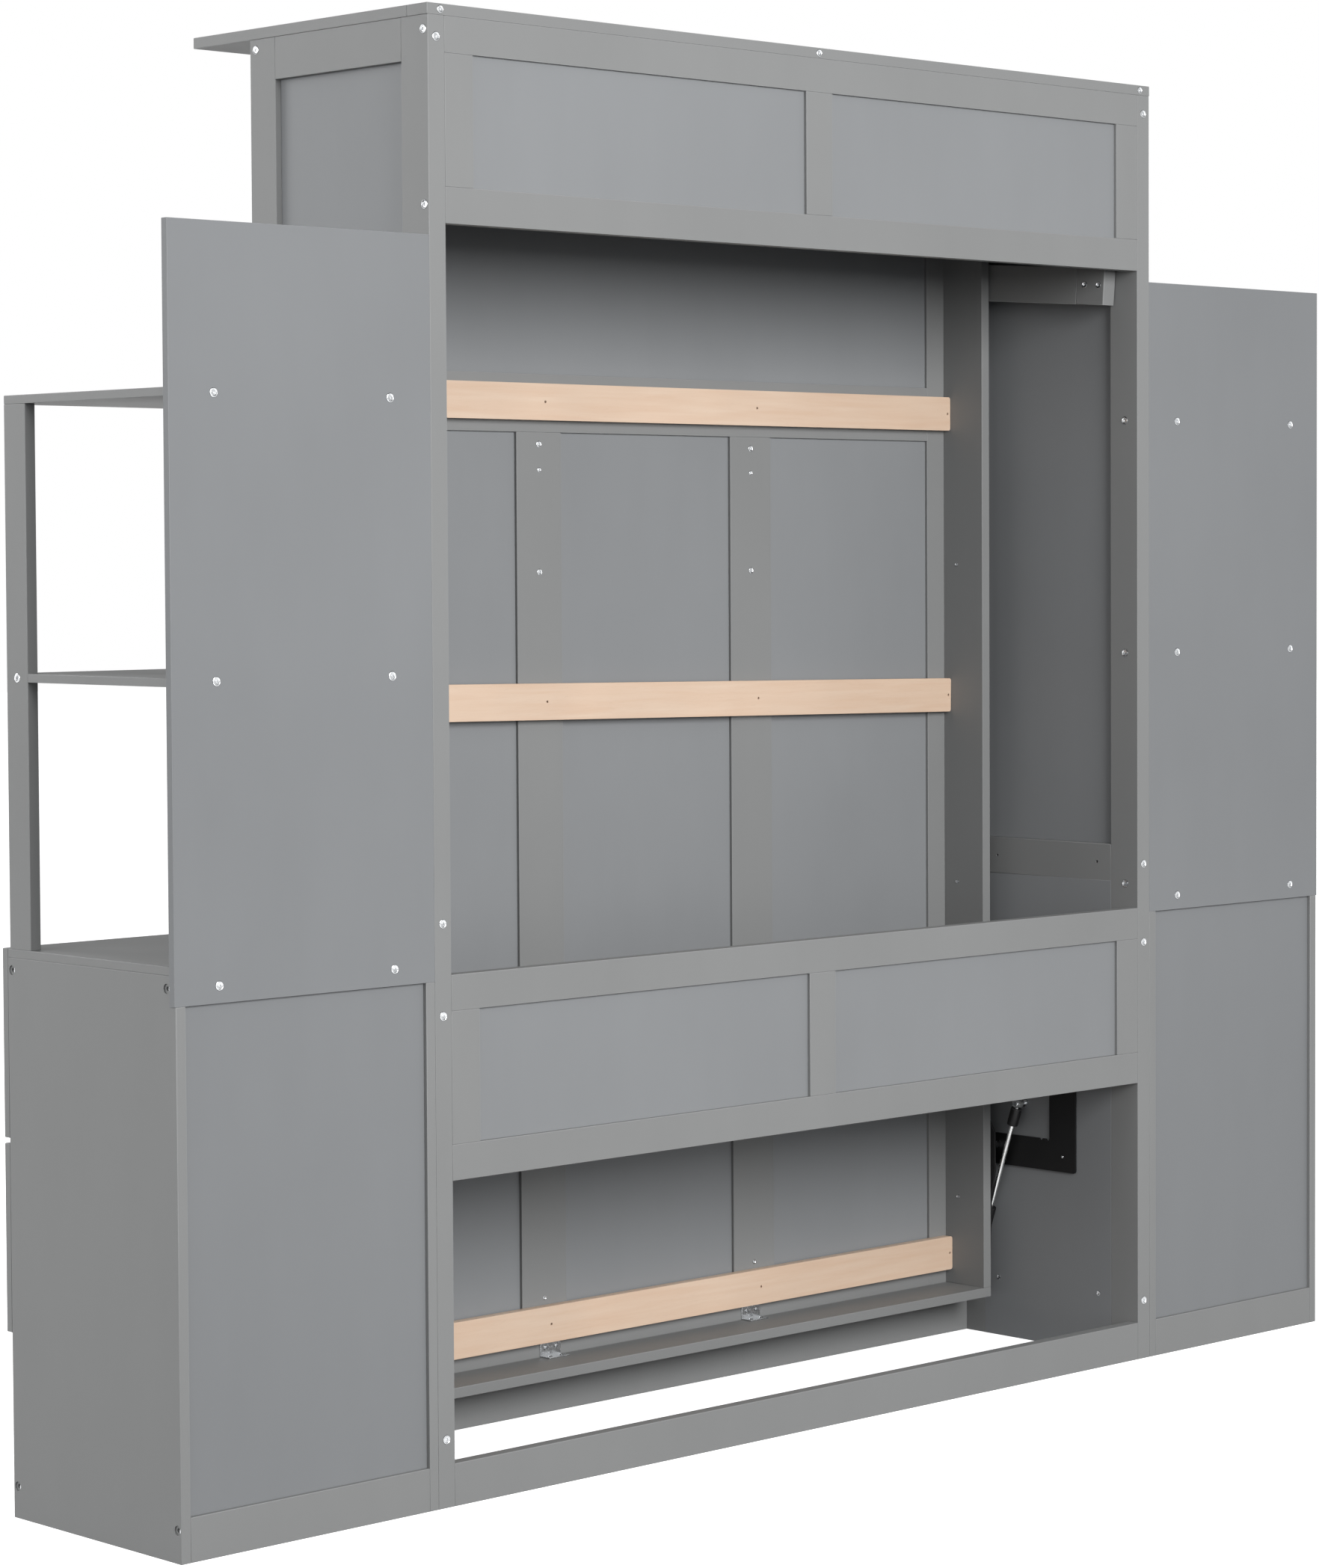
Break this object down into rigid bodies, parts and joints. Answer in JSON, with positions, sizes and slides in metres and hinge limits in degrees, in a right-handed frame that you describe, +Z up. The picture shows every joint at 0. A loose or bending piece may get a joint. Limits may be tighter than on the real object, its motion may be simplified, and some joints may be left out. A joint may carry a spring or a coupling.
{
  "type": "murphy wall bed",
  "caption": "Fold-down bed in a cabinet with a deep top board, between two side units that have open shelves, drawers and an open cubby; the bed hinges down on gas springs and fold-out legs",
  "frame": {"origin": "middle of the bounding box on the floor", "axes": "+Z up, the cabinet's front and the drawers face -Y, the back to the wall faces +Y, X runs along the cabinet's width"},
  "size_m": [2.434, 0.535, 2.1],
  "materials": {
    "painted_board": "satin grey paint on medium-density fibreboard",
    "beech": "clear-coated beech",
    "birch_ply": "clear-coated birch plywood",
    "zinc_steel": "zinc plated",
    "satin_nickel": "satin nickel",
    "polished_rod": "hard chrome",
    "black_steel": "black powder coat",
    "black_rubber": "moulded, matte"
  },
  "bodies": {
    "cabinet": {"top_board": "painted_board", "top_back_strip": "painted_board", "side_stiles": "painted_board", "side_rails": "painted_board", "side_panels": "painted_board", "back_rails": "painted_board", "back_stiles": "painted_board", "back_panels": "painted_board", "rear_floor_rail": "painted_board", "front_rails": "painted_board", "unit_outer_panels": "painted_board", "unit_inner_panels": "painted_board", "unit_back_panels": "painted_board", "unit_rails": "painted_board", "unit_floors": "painted_board", "counters": "painted_board", "shelf_backs": "painted_board", "shelves": "painted_board", "shelf_posts": "painted_board", "drawer_cleats": "beech", "mechanism_plates": "black_steel", "pivot_studs": "zinc_steel", "cabinet_bolts": "zinc_steel"},
    "bed": {"face_outer_stiles": "painted_board", "face_middle_stiles": "painted_board", "face_rails": "painted_board", "face_panels": "painted_board", "bed_side_rails": "painted_board", "bed_end_boards": "painted_board", "bed_slats": "beech", "corner_brackets": "zinc_steel", "bed_pulls": "satin_nickel", "bed_pivot_plates": "black_steel", "leg_pivot_pins": "zinc_steel", "bed_screws": "zinc_steel"},
    "leg_unit_left": {"leg_left": "painted_board", "leg_foot_left": "painted_board", "leg_bolts_left": "zinc_steel"},
    "leg_unit_right": {"leg_right": "painted_board", "leg_foot_right": "painted_board", "leg_bolts_right": "zinc_steel"},
    "spring_upper_left": {"spring_rod_left": "polished_rod", "spring_sleeve_left": "black_rubber"},
    "spring_lower_left": {"spring_cylinder_left": "black_steel"},
    "spring_upper_right": {"spring_rod_right": "polished_rod", "spring_sleeve_right": "black_rubber"},
    "spring_lower_right": {"spring_cylinder_right": "black_steel"},
    "drawer_left_upper": {"drawer_front_left_upper": "painted_board", "drawer_box_left_upper": "birch_ply", "drawer_pull_left_upper": "satin_nickel"},
    "drawer_left_lower": {"drawer_front_left_lower": "painted_board", "drawer_box_left_lower": "birch_ply", "drawer_pull_left_lower": "satin_nickel"},
    "drawer_right_upper": {"drawer_front_right_upper": "painted_board", "drawer_box_right_upper": "birch_ply", "drawer_pull_right_upper": "satin_nickel"},
    "drawer_right_lower": {"drawer_front_right_lower": "painted_board", "drawer_box_right_lower": "birch_ply", "drawer_pull_right_lower": "satin_nickel"}
  },
  "joints": [
    {"name": "bed_hinge", "type": "hinge", "parent": "cabinet", "child": "bed", "pos_m": [0, -0.0425, 0.329], "axis": [1, 0, 0], "range_deg": [0, 90], "stiffness_Nm_per_rad": 105, "springref_deg": -17.19},
    {"name": "leg_hinge_left", "type": "hinge", "parent": "bed", "child": "leg_unit_left", "pos_m": [-0.7235, -0.0745, 1.7943], "axis": [1, 0, 0], "range_deg": [-175.8, 0]},
    {"name": "leg_hinge_right", "type": "hinge", "parent": "bed", "child": "leg_unit_right", "pos_m": [0.7235, -0.0745, 1.7943], "axis": [1, 0, 0], "range_deg": [-175.8, 0]},
    {"name": "spring_swing_left", "type": "hinge", "parent": "cabinet", "child": "spring_upper_left", "pos_m": [-0.722, 0.018, 0.405], "axis": [1, 0, 0], "range_deg": [0, 73.59]},
    {"name": "spring_slide_left", "type": "slide", "parent": "spring_upper_left", "child": "spring_lower_left", "axis": [0, -0.3218, -0.9468], "range_m": [-0.1158, 0]},
    {"name": "spring_swing_right", "type": "hinge", "parent": "cabinet", "child": "spring_upper_right", "pos_m": [0.722, 0.018, 0.405], "axis": [1, 0, 0], "range_deg": [0, 73.59]},
    {"name": "spring_slide_right", "type": "slide", "parent": "spring_upper_right", "child": "spring_lower_right", "axis": [0, -0.3218, -0.9468], "range_m": [-0.1158, 0]},
    {"name": "slide_left_upper", "type": "slide", "parent": "cabinet", "child": "drawer_left_upper", "axis": [0, -1, 0], "range_m": [0, 0.3]},
    {"name": "slide_left_lower", "type": "slide", "parent": "cabinet", "child": "drawer_left_lower", "axis": [0, -1, 0], "range_m": [0, 0.3]},
    {"name": "slide_right_upper", "type": "slide", "parent": "cabinet", "child": "drawer_right_upper", "axis": [0, -1, 0], "range_m": [0, 0.3]},
    {"name": "slide_right_lower", "type": "slide", "parent": "cabinet", "child": "drawer_right_lower", "axis": [0, -1, 0], "range_m": [0, 0.3]}
  ],
  "couplings": [
    {"joint": "leg_hinge_left", "follows": "bed_hinge", "ratio": -1.9533},
    {"joint": "leg_hinge_right", "follows": "bed_hinge", "ratio": -1.9533},
    {"joint": "spring_swing_left", "follows": "bed_hinge", "ratio": 0.81767},
    {"joint": "spring_slide_left", "follows": "bed_hinge", "m_per_rad": -0.073721},
    {"joint": "spring_swing_right", "follows": "bed_hinge", "ratio": 0.81767},
    {"joint": "spring_slide_right", "follows": "bed_hinge", "m_per_rad": -0.073721}
  ]
}
